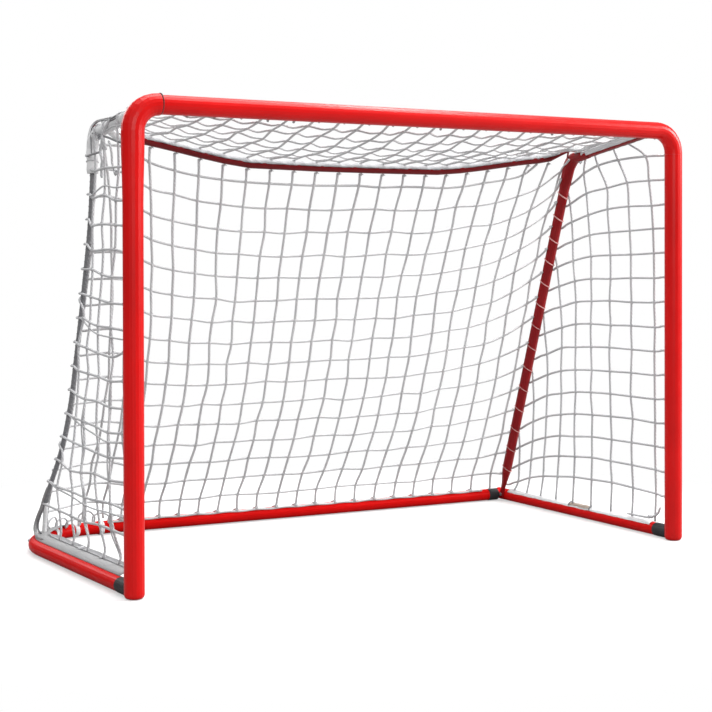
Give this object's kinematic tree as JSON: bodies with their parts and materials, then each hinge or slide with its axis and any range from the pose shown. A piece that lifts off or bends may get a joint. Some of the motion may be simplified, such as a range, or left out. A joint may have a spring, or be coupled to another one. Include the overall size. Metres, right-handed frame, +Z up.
{
  "type": "hockey goal with net",
  "caption": "Red tubular steel hockey goal with a bent crossbar, splayed base frame, raked rear uprights, top shelf and knotted white net, tubes joined by black couplers and snap buttons.",
  "frame": {"origin": "centre of the goal's footprint box on the floor; the goal line through the two front posts lies 0.463 m in front of it, at Y = -0.4626", "axes": "+X along the crossbar, towards the right post as seen by a shooter; +Y from the goal mouth into the net; +Z up"},
  "size_m": [1.7712, 0.9824, 1.2217],
  "materials": {
    "red": "gloss",
    "dark_red": "gloss",
    "black": "satin",
    "zinc": "satin",
    "spring": "satin",
    "cord": "matte",
    "hem": "matte",
    "strap": "matte"
  },
  "bodies": {
    "frame": {"base_left_rear_tube": "red", "base_right_end_cap": "black", "base_right_tube": "red", "crossbar": "red", "left_base_hem": "hem", "left_base_spring": "spring", "left_corner_bolt": "zinc", "left_corner_nut": "zinc", "left_elbow_spring": "spring", "left_foot_bolt": "zinc", "left_foot_nut": "zinc", "left_front_coupler": "black", "left_post": "red", "left_shelf_bar": "dark_red", "left_shelf_screw": "zinc", "left_shelf_sleeve": "hem", "left_upright": "dark_red", "left_upright_sleeve": "hem", "net_back": "cord", "net_left_side": "cord", "net_right_side": "cord", "net_top": "cord", "rear_base_hem": "hem", "rear_base_spring": "spring", "rear_right_coupler": "black", "rear_strap_1": "strap", "rear_strap_2": "strap", "rear_strap_3": "strap", "rear_top_bar": "dark_red", "right_base_hem": "hem", "right_base_spring": "spring", "right_corner_bolt": "zinc", "right_corner_nut": "zinc", "right_foot_bolt": "zinc", "right_foot_nut": "zinc", "right_front_coupler": "black", "right_post": "red", "right_post_spring": "spring", "right_shelf_bar": "dark_red", "right_shelf_screw": "zinc", "right_shelf_sleeve": "hem", "right_upright": "dark_red"},
    "left_elbow_push": {"left_elbow_button": "zinc"},
    "right_post_push": {"right_post_button": "zinc"},
    "rear_base_push": {"rear_base_button": "zinc"},
    "left_base_push": {"left_base_button": "zinc"},
    "right_base_push": {"right_base_button": "zinc"}
  },
  "joints": [
    {"name": "left_elbow_press", "type": "slide", "parent": "frame", "child": "left_elbow_push", "axis": [0, -1, 0], "range_m": [0, 0.0043], "stiffness_N_per_m": 900, "springref_m": -0.002},
    {"name": "right_post_press", "type": "slide", "parent": "frame", "child": "right_post_push", "axis": [0, -1, 0], "range_m": [0, 0.0043], "stiffness_N_per_m": 900, "springref_m": -0.002},
    {"name": "rear_base_press", "type": "slide", "parent": "frame", "child": "rear_base_push", "axis": [0, -1, 0], "range_m": [0, 0.0043], "stiffness_N_per_m": 900, "springref_m": -0.002},
    {"name": "left_base_press", "type": "slide", "parent": "frame", "child": "left_base_push", "axis": [-0.9995, -0.0308, 0], "range_m": [0, 0.0043], "stiffness_N_per_m": 900, "springref_m": -0.002},
    {"name": "right_base_press", "type": "slide", "parent": "frame", "child": "right_base_push", "axis": [-0.9995, 0.0308, 0], "range_m": [0, 0.0043], "stiffness_N_per_m": 900, "springref_m": -0.002}
  ]
}
